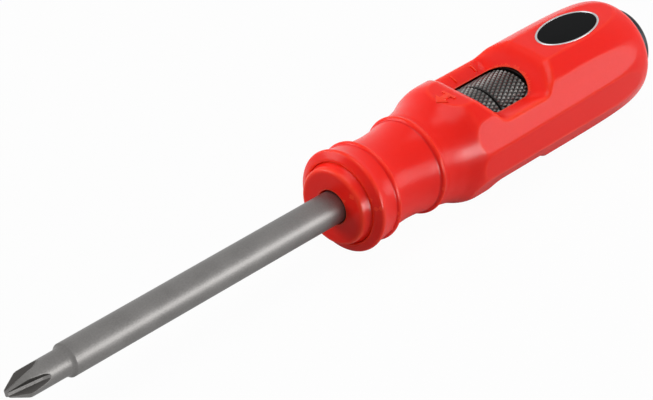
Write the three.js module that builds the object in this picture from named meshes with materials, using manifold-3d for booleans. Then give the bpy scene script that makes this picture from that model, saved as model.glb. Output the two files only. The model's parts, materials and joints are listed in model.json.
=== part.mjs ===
// Impact screwdriver: a cross-point blade in a moulded handle, turned by a blow on the rear cap.
// Lengths are in millimetres. The tool lies along X with its tip towards -X, on the flat under its handle.
import * as THREE from 'three';
import { mergeVertices } from 'three/addons/utils/BufferGeometryUtils.js';
import Module from 'manifold-3d';

const wasm = await Module();
wasm.setup();

// Clearances and facets
const gap = 0.3;
const fine = 48;
const coarse = 32;
const small = 16;
const sealSides = 10;

// Blade
const bareBlade = 99.9;
const noseRadius = 0.9;
const tipConeLength = 4.8;
const bitRadius = 3.22;
const bitLength = 14.8;
const shoulderLength = 1.9;
const shankRadius = 4.0;
const fluteCount = 4;
const fluteNoseDepth = 0.6;
const fluteRun = 10.2;
const fluteFloorWidth = 0.7;
const fluteWallAngle = THREE.MathUtils.degToRad(46);
const fluteClock = THREE.MathUtils.degToRad(-22.4);

// Nose bush and what lies behind it in the neck
const bossRadius = 10.1;
const bossHeight = 2.2;
const bossEdge = 0.5;
const bossTaper = 0.9;
const shankChamfer = 0.6;
const stemRadius = 8.0;
const stemLength = 8.6;
const sealSection = 0.9;
const bearingRadius = 7.0;
const bearingLength = 9.6;

// Outside of the handle, from the flange to the rear end
const flangeRadius = 12.75;
const flangeSlope = 1.1;
const flangeRound = 0.8;
const flangeLength = 6.65;
const flangeFootRadius = 11.95;
const frontBeadHeight = 0.4;
const frontBeadLength = 1.7;
const frontTaper = 3.35;
const neckRadius = 10.9;
const neckLength = 8.75;
const rearBeadRadius = 12.35;
const rearBeadStep = 2.2;
const rearBeadLength = 3.4;
const flareFootRadius = 12.1;
const flareLength = 10.95;
const barrelRadius = 15.0;
const barrelLength = 33;
const domeLength = 31.5;
const domePower = 3.7;
const rearLip = 0.9;

// Flats on the barrel: top and bottom, four slanted ones, and two sides that close in to the rear
const topFlat = 13.8;
const slantFlat = 14.5;
const slantAngle = THREE.MathUtils.degToRad(60);
const sideFlatFront = 14.65;
const sideFlatRear = 14.45;

// Thumb recesses over the selector ring
const recessFrontSlope = 6.0;
const recessFloor = 7.3;
const recessFloorLength = 13.7;
const recessRearSlope = 5.8;
const recessFloorHalfWidth = 7.2;
const recessRim = 8.7;
const recessRimHalfWidth = 12;

// Badge on the top flat
const badgeHalfLength = 10.8;
const badgeHalfWidth = 5.4;
const badgeRimWidth = 0.9;
const badgeHeight = 0.8;
const badgeProud = 0.15;
const badgeBehindRecess = 16.4;

// Mechanism
const rodRadius = 6.2;
const guideWall = 3.3;
const boreInset = 5.0;
const washerThickness = 1.2;
const collarHubLength = 10.4;
const collarHubStep = 0.6;
const bandLength = 5.8;
const knurlStep = 0.5;
const selectorLength = 11.4;
const selectorGap = 0.4;
const guideLength = 17.2;
const ringThickness = 1.4;
const ringGrip = 0.5;
const ringBite = 0.6;
const ringOpening = 7;
const seatThickness = 1.0;
const tailReach = 13.9;
const stroke = 4;
const turnPerStroke = THREE.MathUtils.degToRad(20);
const pinRadius = 1.25;
const camPinFromRear = 5.7;
const collarPinFromFront = 4.7;
const keyRadius = 1.5;
const keyFromFront = 10.2;
const keyDepth = 1.5;
const ballRadius = 0.8;
const ballProud = 0.2;
const detentTrack = 0.5;
const detentTravel = THREE.MathUtils.degToRad(12);
const detentSpringLength = 3.8;
const detentWire = 0.16;
const detentPitch = 0.85;

// Striking cap and return spring
const capSkirt = 7.5;
const capProud = 5.8;
const capDome = 2.2;
const capFaceRadius = 4.7;
const capClearance = 0.4;
const spigotRadius = 5.0;
const spigotLength = 8.0;
const capSealSection = 0.72;
const capSealFromFront = 5.6;
const springWire = 0.6;
const springPitch = 2.1;

// Places along the axis, counted from the nose of the tip
const shellFront = bareBlade + bossHeight + gap;
const flangeEnd = shellFront + flangeLength;
const frontBeadEnd = flangeEnd + frontBeadLength;
const neckStart = frontBeadEnd + frontTaper;
const neckEnd = neckStart + neckLength;
const flareStart = neckEnd + rearBeadStep + rearBeadLength;
const flareEnd = flareStart + flareLength;
const domeStart = flareEnd + barrelLength;
const shellEnd = domeStart + domeLength;
const stemEnd = bareBlade + bossHeight + stemLength;
const sealSeatEnd = stemEnd + 3 * gap + 2 * sealSection;
const boreStart = flareEnd - boreInset;
const bearingStart = Math.max(boreStart - bearingLength - 2 * gap, sealSeatEnd + gap);
const washerStart = boreStart + gap;
const collarStart = washerStart + washerThickness + gap;
const bandStart = collarStart + collarHubLength;
const bandEnd = bandStart + bandLength;
const selectorStart = bandEnd + selectorGap;
const selectorEnd = selectorStart + selectorLength;
const guideStart = selectorEnd + selectorGap;
const guideEnd = guideStart + guideLength;
const ringStart = guideEnd + gap;
const ringEnd = ringStart + ringThickness;
const seatStart = ringEnd + gap;
const seatEnd = seatStart + seatThickness;
const capFront = shellEnd - capSkirt;
const capEnd = shellEnd + capProud;
const bladeEnd = bandEnd + tailReach;
const camPinPlace = bladeEnd - camPinFromRear;
const rodStart = camPinPlace - pinRadius - 2 * gap - 2;
const rodBoreEnd = bladeEnd + stroke + gap;
const keyPlace = guideStart + keyFromFront;
const collarPinPlace = collarStart + collarPinFromFront;
const recessLength = recessFrontSlope + recessFloorLength + recessRearSlope;
const recessFront = (bandStart + selectorEnd - recessLength) / 2 + gap;
const badgeCentre = recessFront + recessLength + badgeBehindRecess;

// Radii that follow from the mechanism
const guideBore = rodRadius + gap;
const guideRadius = guideBore + guideWall;
const boreRadius = guideRadius + gap;
const knurlRadius = boreRadius - knurlStep;
const domeEndRadius = boreRadius + rearLip;
const shankBore = shankRadius + gap;
const pinBore = pinRadius + gap;
const keyBore = keyRadius + gap;
const detentRadius = (guideBore + guideRadius) / 2;
const capRadius = boreRadius - capClearance;

// A geometry's triangles as a closed solid with its faces pointing out
function solid(geometry) {
  const bare = geometry.clone();
  bare.deleteAttribute('normal');
  bare.deleteAttribute('uv');
  const merged = mergeVertices(bare, 1e-4);
  const place = merged.attributes.position;
  const triangles = [];
  const a = new THREE.Vector3();
  const b = new THREE.Vector3();
  const c = new THREE.Vector3();
  let volume = 0;
  for (let i = 0; i < merged.index.count; i += 3) {
    const [p, q, r] = [0, 1, 2].map((k) => merged.index.getX(i + k));
    if (p === q || q === r || r === p) continue;
    a.fromBufferAttribute(place, p);
    b.fromBufferAttribute(place, q);
    c.fromBufferAttribute(place, r);
    volume += a.dot(b.cross(c));
    triangles.push([p, q, r]);
  }
  const turned = volume < 0 ? triangles.map(([p, q, r]) => [p, r, q]) : triangles;
  return new wasm.Manifold(new wasm.Mesh({
    numProp: 3,
    vertProperties: new Float32Array(place.array),
    triVerts: new Uint32Array(turned.flat()),
  }));
}

// A body of revolution round the X axis, from [along, radius] points
function turned(points, segments) {
  const outline = points.map(([along, radius]) => new THREE.Vector2(radius, along));
  const geometry = new THREE.LatheGeometry(outline, segments);
  geometry.rotateZ(-Math.PI / 2);
  return solid(geometry);
}

// A plain ring or tube round the X axis
function tube(start, end, inner, outer, segments) {
  return turned([[start, inner], [start, outer], [end, outer], [end, inner], [start, inner]], segments);
}

// A round bar along X, with ends square to it
function bar(start, end, radius, segments) {
  return turned([[start, 0], [start, radius], [end, radius], [end, 0]], segments);
}

// A torus round the X axis
function seal(middle, ringRadius, section) {
  const points = [];
  for (let i = 0; i < sealSides; i += 1) {
    const angle = (2 * Math.PI * i) / sealSides;
    points.push([middle + section * Math.cos(angle), ringRadius + section * Math.sin(angle)]);
  }
  points.push(points[0]);
  return turned(points, coarse);
}

// A straight pin across the axis at one place; angle 0 points along Z and a quarter turn along -Y
function crossPin(place, radius, from, to, angle) {
  const geometry = new THREE.CylinderGeometry(radius, radius, to - from, small);
  geometry.translate(0, (from + to) / 2, 0);
  geometry.rotateX(Math.PI / 2 + angle);
  geometry.translate(place, 0, 0);
  return solid(geometry);
}

// An outline in X and Z, carried across the tool in Y
function acrossTool(outline, halfWidth) {
  const shape = new THREE.Shape(outline.map(([x, z]) => new THREE.Vector2(x, z)));
  const geometry = new THREE.ExtrudeGeometry(shape, { depth: 2 * halfWidth, bevelEnabled: false });
  geometry.rotateX(Math.PI / 2);
  geometry.translate(0, halfWidth, 0);
  return solid(geometry);
}

// An outline in Y and Z, carried along the tool in X
function alongTool(outline, start, end) {
  const shape = new THREE.Shape(outline.map(([y, z]) => new THREE.Vector2(y, z)));
  const geometry = new THREE.ExtrudeGeometry(shape, { depth: end - start, bevelEnabled: false });
  const axes = [new THREE.Vector3(0, 1, 0), new THREE.Vector3(0, 0, 1), new THREE.Vector3(1, 0, 0)];
  geometry.applyMatrix4(new THREE.Matrix4().makeBasis(...axes));
  geometry.translate(start, 0, 0);
  return solid(geometry);
}

// A coil round the X axis: one tube of five sides, eight steps to a turn
function coil(name, start, end, coilRadius, wire, pitch) {
  const sides = 5;
  const stepsPerTurn = 8;
  const travel = end - start - 2 * wire;
  const turns = Math.max(1, Math.floor(travel / pitch));
  const steps = turns * stepsPerTurn;
  const rise = travel / (2 * Math.PI * turns);
  const centres = [];
  const positions = [];
  const index = [];
  for (let i = 0; i <= steps; i += 1) {
    const angle = (2 * Math.PI * i) / stepsPerTurn;
    const outward = new THREE.Vector3(0, Math.cos(angle), Math.sin(angle));
    const centre = outward.clone().multiplyScalar(coilRadius);
    centre.x = start + wire + (travel * i) / steps;
    const forward = new THREE.Vector3(rise, -coilRadius * Math.sin(angle), coilRadius * Math.cos(angle));
    const aside = forward.normalize().cross(outward);
    centres.push(centre);
    for (let k = 0; k < sides; k += 1) {
      const lean = (2 * Math.PI * k) / sides;
      const point = centre.clone();
      point.addScaledVector(outward, wire * Math.cos(lean));
      point.addScaledVector(aside, wire * Math.sin(lean));
      positions.push(point.x, point.y, point.z);
    }
  }
  for (let i = 0; i < steps; i += 1) {
    for (let k = 0; k < sides; k += 1) {
      const here = i * sides + k;
      const beside = i * sides + ((k + 1) % sides);
      index.push(here, beside, here + sides, beside, beside + sides, here + sides);
    }
  }
  const last = steps * sides;
  for (let k = 1; k < sides - 1; k += 1) {
    index.push(0, k + 1, k, last, last + k, last + k + 1);
  }
  const geometry = new THREE.BufferGeometry();
  geometry.setAttribute('position', new THREE.Float32BufferAttribute(positions, 3));
  geometry.setIndex(index);
  let least = Infinity;
  for (let i = 0; i <= steps; i += 1) {
    for (let k = i + stepsPerTurn - 2; k <= steps; k += 1) {
      least = Math.min(least, centres[i].distanceTo(centres[k]) - 2 * wire);
    }
  }
  console.log(`${name}: least gap to itself ${least.toFixed(2)} mm`);
  return solid(geometry);
}

function cut(body, ...tools) {
  return tools.reduce((left, tool) => left.subtract(tool), body);
}

// The tip's cone, bit end and shank, with flutes cut down to the nose, and the pins' cross holes
function bladeSolid() {
  const shoulderStart = bitLength;
  const shoulderEnd = bitLength + shoulderLength;
  const outline = [
    [0, 0],
    [0, noseRadius * 0.7],
    [noseRadius * 0.3, noseRadius],
    [tipConeLength, bitRadius],
    [shoulderStart, bitRadius],
    [(shoulderStart + shoulderEnd) / 2, bitRadius + (shankRadius - bitRadius) * 0.3],
    [shoulderEnd, shankRadius],
    [bladeEnd - gap, shankRadius],
    [bladeEnd, shankRadius - gap],
    [bladeEnd, 0],
  ];
  const fluteDepth = bitRadius * 2;
  const half = fluteFloorWidth / 2;
  const mouth = half + fluteDepth * Math.tan(fluteWallAngle);
  const flute = new THREE.Shape([
    new THREE.Vector2(-half, 0),
    new THREE.Vector2(half, 0),
    new THREE.Vector2(mouth, fluteDepth),
    new THREE.Vector2(-mouth, fluteDepth),
  ]);
  const fluteSlope = Math.atan2(bitRadius - fluteNoseDepth, fluteRun);
  const lead = 2 * noseRadius;
  const flutes = [];
  for (let i = 0; i < fluteCount; i += 1) {
    const geometry = new THREE.ExtrudeGeometry(flute, { depth: fluteRun + 2 * lead, bevelEnabled: false });
    const axes = [new THREE.Vector3(0, 1, 0), new THREE.Vector3(0, 0, 1), new THREE.Vector3(1, 0, 0)];
    geometry.applyMatrix4(new THREE.Matrix4().makeBasis(...axes));
    geometry.translate(-lead, 0, 0);
    geometry.rotateY(-fluteSlope);
    geometry.translate(0, 0, fluteNoseDepth);
    geometry.rotateX(fluteClock + (2 * Math.PI * i) / fluteCount);
    flutes.push(solid(geometry));
  }
  const reach = 2 * shankRadius;
  const camHole = crossPin(camPinPlace, pinBore, -reach, reach, 0);
  const collarHole = crossPin(collarPinPlace, pinBore, -reach, reach, Math.PI / 2);
  return cut(turned(outline, coarse), ...flutes, camHole, collarHole);
}

// The boss that closes the front of the handle round the shank, with a stem in the neck
function noseBushSolid() {
  const back = bareBlade + bossHeight;
  const rimRadius = bossRadius - bossTaper;
  const points = [
    [bareBlade + shankChamfer, shankBore],
    [bareBlade, shankBore + shankChamfer],
    [bareBlade, rimRadius - bossEdge],
    [bareBlade + 0.3 * bossEdge, rimRadius - 0.3 * bossEdge],
    [bareBlade + bossEdge, rimRadius],
    [back, bossRadius],
    [back, stemRadius],
    [stemEnd, stemRadius],
    [stemEnd, shankBore],
    [bareBlade + shankChamfer, shankBore],
  ];
  return turned(points, fine);
}

// The handle's outer outline, from the flange's sloped front to the rear lip
function shellOutline() {
  const crest = flangeEnd + frontBeadLength / 2;
  const bead = neckEnd + rearBeadStep;
  const points = [
    [shellFront, bossRadius],
    [shellFront + 0.6 * flangeSlope, flangeRadius - flangeRound],
    [shellFront + flangeSlope, flangeRadius - 0.3 * flangeRound],
    [shellFront + flangeSlope + 0.6 * flangeRound, flangeRadius],
    [flangeEnd, flangeFootRadius],
    [crest, flangeFootRadius + frontBeadHeight],
    [frontBeadEnd, flangeFootRadius - frontBeadHeight / 2],
    [neckStart, neckRadius],
    [neckEnd, neckRadius],
    [bead - 0.2 * rearBeadStep, (neckRadius + rearBeadRadius) / 2],
    [bead, rearBeadRadius - gap],
    [bead + 0.3 * rearBeadLength, rearBeadRadius],
  ];
  const flareSteps = 8;
  for (let i = 0; i <= flareSteps; i += 1) {
    const part = i / flareSteps;
    const ease = (1 - Math.cos(Math.PI * part)) / 2;
    points.push([flareStart + flareLength * part, flareFootRadius + (barrelRadius - flareFootRadius) * ease]);
  }
  const domeSteps = 9;
  for (let i = 0; i <= domeSteps; i += 1) {
    const part = Math.sin((Math.PI / 2) * (i / domeSteps));
    const fall = (1 - part ** domePower) ** (1 / domePower);
    points.push([domeStart + domeLength * part, domeEndRadius + (barrelRadius - domeEndRadius) * fall]);
  }
  return points;
}

// The bores inside the handle, from the rear end back to its front
function shellBores() {
  const groove = guideRadius + ringBite + 2 * gap;
  const bushBore = stemRadius + gap;
  const sealBore = shankBore + 2 * sealSection + gap;
  const tunnel = shankBore + gap;
  const bearingBore = bearingRadius + gap;
  return [
    [shellEnd, boreRadius],
    [ringEnd + gap / 2, boreRadius],
    [ringEnd + gap / 2, groove],
    [ringStart - gap / 2, groove],
    [ringStart - gap / 2, boreRadius],
    [boreStart, boreRadius],
    [boreStart, bearingBore],
    [bearingStart - gap, bearingBore],
    [bearingStart - gap, tunnel],
    [sealSeatEnd, tunnel],
    [sealSeatEnd, sealBore],
    [stemEnd + gap, sealBore],
    [stemEnd + gap, bushBore],
    [shellFront, bushBore],
  ];
}

// What a flat takes off the barrel: everything further out than its distance, at one angle from the top
function flatCut(angle, frontDistance, rearDistance) {
  const reach = 2 * barrelRadius;
  const slope = (rearDistance - frontDistance) / barrelLength;
  const outline = [
    [flareStart, frontDistance - slope * flareLength],
    [shellEnd + reach, rearDistance + slope * (domeLength + reach)],
    [shellEnd + reach, reach],
    [flareStart, reach],
  ];
  return acrossTool(outline, reach).rotate([THREE.MathUtils.radToDeg(angle), 0, 0]);
}

// The scoop over the selector ring: sloped ends along the tool, and a floor that rises to its sides
function recessCut(angle) {
  const reach = 2 * barrelRadius;
  const floorFront = recessFront + recessFrontSlope;
  const floorRear = floorFront + recessFloorLength;
  const climb = (reach - recessFloor) / (topFlat - recessFloor);
  const ends = [
    [floorFront, recessFloor],
    [floorRear, recessFloor],
    [floorRear + climb * recessRearSlope, reach],
    [floorFront - climb * recessFrontSlope, reach],
  ];
  const rise = (recessRim - recessFloor) / (recessRimHalfWidth - recessFloorHalfWidth);
  const sideHeight = recessRim + rise * (reach - recessRimHalfWidth);
  const dish = [
    [-recessFloorHalfWidth, recessFloor],
    [recessFloorHalfWidth, recessFloor],
    [reach, sideHeight],
    [reach, 2 * reach],
    [-reach, 2 * reach],
    [-reach, sideHeight],
  ];
  const scoop = acrossTool(ends, reach);
  const trough = alongTool(dish, recessFront - reach, recessFront + recessLength + reach);
  return scoop.intersect(trough).rotate([THREE.MathUtils.radToDeg(angle), 0, 0]);
}

// An upright oval on the top flat, between two heights
function oval(halfLength, halfWidth, low, high) {
  const shape = new THREE.Shape();
  shape.absellipse(badgeCentre, 0, halfLength, halfWidth, 0, 2 * Math.PI);
  const geometry = new THREE.ExtrudeGeometry(shape, {
    depth: high - low,
    bevelEnabled: false,
    curveSegments: small,
  });
  geometry.translate(0, 0, low);
  return solid(geometry);
}

// The moulded handle: outline and bores in one turn, then the flats, recesses and badge pocket
function shellSolid() {
  const outline = [...shellOutline(), ...shellBores()];
  const body = turned([...outline, outline[0]], fine);
  const flats = [
    flatCut(0, topFlat, topFlat),
    flatCut(Math.PI, topFlat, topFlat),
    flatCut(Math.PI / 2, sideFlatFront, sideFlatRear),
    flatCut(-Math.PI / 2, sideFlatFront, sideFlatRear),
  ];
  for (const angle of [slantAngle, -slantAngle, Math.PI - slantAngle, Math.PI + slantAngle]) {
    flats.push(flatCut(angle, slantFlat, slantFlat));
  }
  const pocketFloor = topFlat + badgeProud - badgeHeight - gap;
  const pocket = oval(badgeHalfLength + gap, badgeHalfWidth + gap, pocketFloor, 2 * topFlat);
  return cut(body, ...flats, recessCut(0), recessCut(Math.PI), pocket);
}

// The hub that is pinned to the shank, with the front knurled band
function collarSolid() {
  const hub = knurlRadius - collarHubStep;
  const points = [
    [collarStart, shankBore],
    [collarStart, hub],
    [bandStart - collarHubStep, hub],
    [bandStart, knurlRadius],
    [bandEnd - gap, knurlRadius],
    [bandEnd, knurlRadius - gap],
    [bandEnd, shankBore],
    [collarStart, shankBore],
  ];
  const reach = 2 * knurlRadius;
  return cut(turned(points, coarse), crossPin(collarPinPlace, pinBore, -reach, reach, Math.PI / 2));
}

// The ring that the thumb turns, with a track and three notches for the detent ball in its rear face
function selectorSolid() {
  const half = ballRadius + gap;
  const points = [
    [selectorStart, guideBore],
    [selectorStart, knurlRadius - gap],
    [selectorStart + gap, knurlRadius],
    [selectorEnd - gap, knurlRadius],
    [selectorEnd, knurlRadius - gap],
    [selectorEnd, detentRadius + half],
    [selectorEnd - detentTrack, detentRadius + half],
    [selectorEnd - detentTrack, detentRadius - half],
    [selectorEnd, detentRadius - half],
    [selectorEnd, guideBore],
    [selectorStart, guideBore],
  ];
  const notches = [-detentTravel, 0, detentTravel].map((angle) => {
    const geometry = new THREE.SphereGeometry(ballRadius, small, small / 2);
    geometry.translate(selectorEnd - gap, 0, -detentRadius);
    geometry.rotateX(angle);
    return solid(geometry);
  });
  return cut(turned(points, coarse), ...notches);
}

// The steel sleeve behind the ring that guides the striker, with the key's and the detent's holes
function guideSolid() {
  const body = tube(guideStart, guideEnd, guideBore, guideRadius, coarse);
  const keyHole = crossPin(keyPlace, keyBore, 0, 2 * guideRadius, Math.PI / 2);
  const pocketEnd = guideStart + ballRadius + detentSpringLength + 3 * gap;
  const pocket = bar(guideStart - gap, pocketEnd, ballRadius + gap / 2, small);
  return cut(body, keyHole, pocket.translate([0, 0, -detentRadius]));
}

// An open spring ring that snaps into the handle's groove
function retainingRingSolid() {
  const outer = guideRadius + ringBite + gap;
  const body = tube(ringStart, ringEnd, guideRadius - ringGrip, outer, coarse);
  const opening = new THREE.BoxGeometry(3 * ringThickness, ringOpening, 2 * outer);
  opening.translate((ringStart + ringEnd) / 2, 0, outer);
  return cut(body, solid(opening));
}

// A slot for the cam pin that turns as it runs back along the striker
function camSlot() {
  const halfWidth = pinBore;
  const start = camPinPlace - pinBore;
  const end = camPinPlace + stroke + pinBore;
  const steps = 8;
  const near = [];
  const far = [];
  for (let i = 0; i <= steps; i += 1) {
    const x = start + ((end - start) * i) / steps;
    near.push(new THREE.Vector2(x, -halfWidth));
    far.unshift(new THREE.Vector2(x, halfWidth));
  }
  const reach = rodRadius + 2 * pinRadius;
  const geometry = new THREE.ExtrudeGeometry(new THREE.Shape([...near, ...far]), {
    depth: 2 * reach,
    steps,
    bevelEnabled: false,
  });
  geometry.translate(0, 0, -reach);
  const place = geometry.attributes.position;
  const point = new THREE.Vector3();
  const axis = new THREE.Vector3(1, 0, 0);
  for (let i = 0; i < place.count; i += 1) {
    point.fromBufferAttribute(place, i);
    point.applyAxisAngle(axis, (turnPerStroke * (point.x - camPinPlace)) / stroke);
    place.setXYZ(i, point.x, point.y, point.z);
  }
  return solid(geometry);
}

// The striker: a bored front that reaches over the blade's tail, a keyway, and a spigot for the cap
function rodSolid() {
  const spigotEnd = capFront + spigotLength;
  const points = [
    [rodStart, shankBore],
    [rodStart, rodRadius - gap],
    [rodStart + gap, rodRadius],
    [capFront - gap, rodRadius],
    [capFront - gap, spigotRadius],
    [spigotEnd, spigotRadius],
    [spigotEnd, 0],
    [rodBoreEnd, 0],
    [rodBoreEnd, shankBore],
    [rodStart, shankBore],
  ];
  const keyway = new THREE.BoxGeometry(stroke + 2 * keyBore, keyDepth + gap, 2 * keyBore);
  keyway.translate(keyPlace + stroke / 2, -rodRadius + (keyDepth + gap) / 2, 0);
  return cut(turned(points, coarse), camSlot(), solid(keyway));
}

// The hardened cap that takes the hammer, with its socket and seal groove
function capSolid() {
  const socketEnd = capFront + spigotLength + gap;
  const socket = spigotRadius + gap;
  const sealPlace = capFront + capSealFromFront;
  const grooveHalf = capSealSection + gap / 2;
  const grooveFloor = capRadius - 2 * capSealSection;
  const domeStartPlace = capEnd - capDome;
  const points = [
    [socketEnd, 0],
    [socketEnd, socket],
    [capFront, socket],
    [capFront, capRadius - gap],
    [capFront + gap, capRadius],
    [sealPlace - grooveHalf, capRadius],
    [sealPlace - grooveHalf, grooveFloor],
    [sealPlace + grooveHalf, grooveFloor],
    [sealPlace + grooveHalf, capRadius],
    [domeStartPlace, capRadius],
  ];
  const domeSteps = 6;
  for (let i = 1; i <= domeSteps; i += 1) {
    const angle = (Math.PI / 2) * (i / domeSteps);
    const radius = capFaceRadius + (capRadius - capFaceRadius) * Math.cos(angle);
    points.push([domeStartPlace + capDome * Math.sin(angle), radius]);
  }
  points.push([capEnd, 0]);
  return turned(points, coarse);
}

// Finishes of the real materials
const finishes = {
  red: { color: 0xe02a1f, roughness: 0.38, metalness: 0 },
  bladeSteel: { color: 0x8d8b89, roughness: 0.45, metalness: 0.9 },
  darkSteel: { color: 0x35373a, roughness: 0.4, metalness: 0.8 },
  brightSteel: { color: 0xb4b6b8, roughness: 0.3, metalness: 1 },
  bronze: { color: 0xa5793f, roughness: 0.4, metalness: 0.9 },
  rubber: { color: 0x1d1d1e, roughness: 0.7, metalness: 0 },
  silver: { color: 0xd5d7d8, roughness: 0.2, metalness: 0.9 },
  black: { color: 0x17191a, roughness: 0.3, metalness: 0 },
};

// The tool's axis stands over the middle of the box, at the height of the flat that it lies on
const tool = new THREE.Group();
const axisGroup = new THREE.Group();
axisGroup.position.set(-capEnd / 2, 0, topFlat);
tool.add(axisGroup);

function addPiece(name, body, finish) {
  const mesh = body.getMesh();
  const geometry = new THREE.BufferGeometry();
  geometry.setAttribute('position', new THREE.Float32BufferAttribute(mesh.vertProperties, 3));
  geometry.setIndex(Array.from(mesh.triVerts));
  geometry.computeVertexNormals();
  const piece = new THREE.Mesh(geometry, new THREE.MeshStandardMaterial(finishes[finish]));
  piece.name = name;
  axisGroup.add(piece);
}

addPiece('handle_shell', shellSolid(), 'red');
addPiece('nose_bush', noseBushSolid(), 'red');
addPiece('shank_seal', seal(stemEnd + 1.5 * gap + sealSection, shankBore + sealSection, sealSection), 'rubber');
addPiece('front_bearing', tube(bearingStart, boreStart - gap, shankBore, bearingRadius, coarse), 'bronze');
addPiece('thrust_washer', tube(washerStart, washerStart + washerThickness, shankBore, guideRadius, coarse), 'bronze');

addPiece('blade', bladeSolid(), 'bladeSteel');
addPiece('blade_collar', collarSolid(), 'darkSteel');
const collarPinReach = knurlRadius - collarHubStep - gap;
addPiece('collar_pin', crossPin(collarPinPlace, pinRadius, -collarPinReach, collarPinReach, Math.PI / 2), 'brightSteel');
addPiece('cam_pin', crossPin(camPinPlace, pinRadius, gap - rodRadius, rodRadius - gap, 0), 'brightSteel');

addPiece('selector_ring', selectorSolid(), 'darkSteel');

addPiece('guide_sleeve', guideSolid(), 'brightSteel');
addPiece('key_pin', crossPin(keyPlace, keyRadius, rodRadius - keyDepth, guideRadius, Math.PI / 2), 'brightSteel');
const ball = new THREE.SphereGeometry(ballRadius, small, small / 2);
const ballPlace = selectorEnd - ballProud + ballRadius;
ball.translate(ballPlace, 0, -detentRadius);
addPiece('detent_ball', solid(ball), 'brightSteel');
const detentSpringStart = ballPlace + ballRadius + gap;
const detentCoilRadius = ballRadius - gap / 2 - detentWire;
const detentSpringEnd = guideStart + ballRadius + detentSpringLength + 2 * gap;
const detentCoil = coil('detent_spring', detentSpringStart, detentSpringEnd, detentCoilRadius, detentWire, detentPitch);
addPiece('detent_spring', detentCoil.translate([0, 0, -detentRadius]), 'brightSteel');
addPiece('retaining_ring', retainingRingSolid(), 'darkSteel');
addPiece('spring_seat', tube(seatStart, seatEnd, guideBore, guideRadius, coarse), 'brightSteel');

addPiece('striker_rod', rodSolid(), 'brightSteel');
addPiece('striking_cap', capSolid(), 'darkSteel');
const capSealRadius = boreRadius - gap - capSealSection;
addPiece('cap_seal', seal(capFront + capSealFromFront, capSealRadius, capSealSection), 'rubber');
const springCoilRadius = (rodRadius + boreRadius) / 2;
const springCoil = coil('return_spring', seatEnd + gap, capFront - gap, springCoilRadius, springWire, springPitch);
addPiece('return_spring', springCoil, 'brightSteel');

const badgeTop = topFlat + badgeProud;
const badgeFoot = badgeTop - badgeHeight;
const fieldHalfLength = badgeHalfLength - badgeRimWidth;
const fieldHalfWidth = badgeHalfWidth - badgeRimWidth;
const badgeBlank = oval(badgeHalfLength, badgeHalfWidth, badgeFoot, badgeTop);
const badgeField = oval(fieldHalfLength, fieldHalfWidth, badgeTop - badgeHeight / 2, badgeTop + gap);
addPiece('badge_rim', cut(badgeBlank, badgeField), 'silver');
const plateFoot = badgeTop - badgeHeight / 2 + gap / 2;
addPiece('badge_plate', oval(fieldHalfLength - gap, fieldHalfWidth - gap, plateFoot, badgeTop), 'black');

export default tool;
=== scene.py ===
import json
import math

import bpy
import numpy as np
from mathutils import Matrix, Vector

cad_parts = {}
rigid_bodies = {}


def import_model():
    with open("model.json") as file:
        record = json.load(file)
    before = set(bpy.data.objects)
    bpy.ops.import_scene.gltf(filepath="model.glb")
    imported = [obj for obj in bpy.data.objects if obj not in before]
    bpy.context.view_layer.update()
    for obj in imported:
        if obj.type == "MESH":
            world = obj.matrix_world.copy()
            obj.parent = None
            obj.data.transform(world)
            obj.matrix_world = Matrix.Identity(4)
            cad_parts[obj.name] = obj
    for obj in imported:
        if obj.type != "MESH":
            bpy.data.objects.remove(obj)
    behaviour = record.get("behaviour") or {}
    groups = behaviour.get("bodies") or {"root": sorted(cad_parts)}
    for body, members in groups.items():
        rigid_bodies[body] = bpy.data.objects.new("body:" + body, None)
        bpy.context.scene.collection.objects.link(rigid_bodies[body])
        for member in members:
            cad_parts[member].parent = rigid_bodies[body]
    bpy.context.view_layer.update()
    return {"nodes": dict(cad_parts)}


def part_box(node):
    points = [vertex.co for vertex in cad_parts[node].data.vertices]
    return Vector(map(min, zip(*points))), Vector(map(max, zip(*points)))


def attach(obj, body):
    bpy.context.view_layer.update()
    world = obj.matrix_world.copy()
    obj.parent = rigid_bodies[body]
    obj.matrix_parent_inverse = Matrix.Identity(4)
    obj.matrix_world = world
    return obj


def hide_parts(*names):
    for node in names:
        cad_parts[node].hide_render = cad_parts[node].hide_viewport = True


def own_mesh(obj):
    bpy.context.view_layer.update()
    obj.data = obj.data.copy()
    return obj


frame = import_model()

# The blade is one bar of alloy steel, blasted to an even matte grey. Its cross point is milled with four
# flutes that run out on the slim bit end. A shoulder leads up to the 8 mm shank, which goes into the handle.
MM = 0.001
TOOL_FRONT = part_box("blade")[0].x
AXIS_HEIGHT = (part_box("nose_bush")[0].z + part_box("nose_bush")[1].z) / 2
BLADE_END = (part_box("blade")[1].x - TOOL_FRONT) / MM
BLADE_OUTLINE = [(0, 0.7), (0.1, 0.95), (0.35, 1.15), (4.3, 3.1), (4.9, 3.22), (14.9, 3.24), (15.7, 3.34),
                 (16.15, 3.52), (16.4, 3.8), (16.48, 3.94), (16.6, 4.0)]
BLADE_AROUND = 192
BLADE_NOSE_STEP = 0.05
BLADE_TIP_STEP = 0.12
BLADE_TIP_END = 18
BLADE_SHANK_START = 18.5
BLADE_SHANK_RINGS = 60
BLADE_CREASE = 50
FLUTES = 4
FLUTE_NOSE_DEPTH = 0.6
FLUTE_RISE = 0.206
FLUTE_BEND = 8.0
FLUTE_RUNOUT = 0.2
FLUTE_HALF_FLOOR = 0.35
FLUTE_WALL_SLOPE = math.tan(math.radians(46))
FLUTE_CLOCK = math.radians(-22.4)
FLUTE_ROUND = 0.12
FLUTE_LEAST_OPENING = 0.05
FLUTE_LEAST_RADIUS = 0.3
OUT_OF_REACH = 1000
PLAIN_CREASE = 35
BLADE_GREY_DARK = (0.125, 0.121, 0.117, 1)
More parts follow.
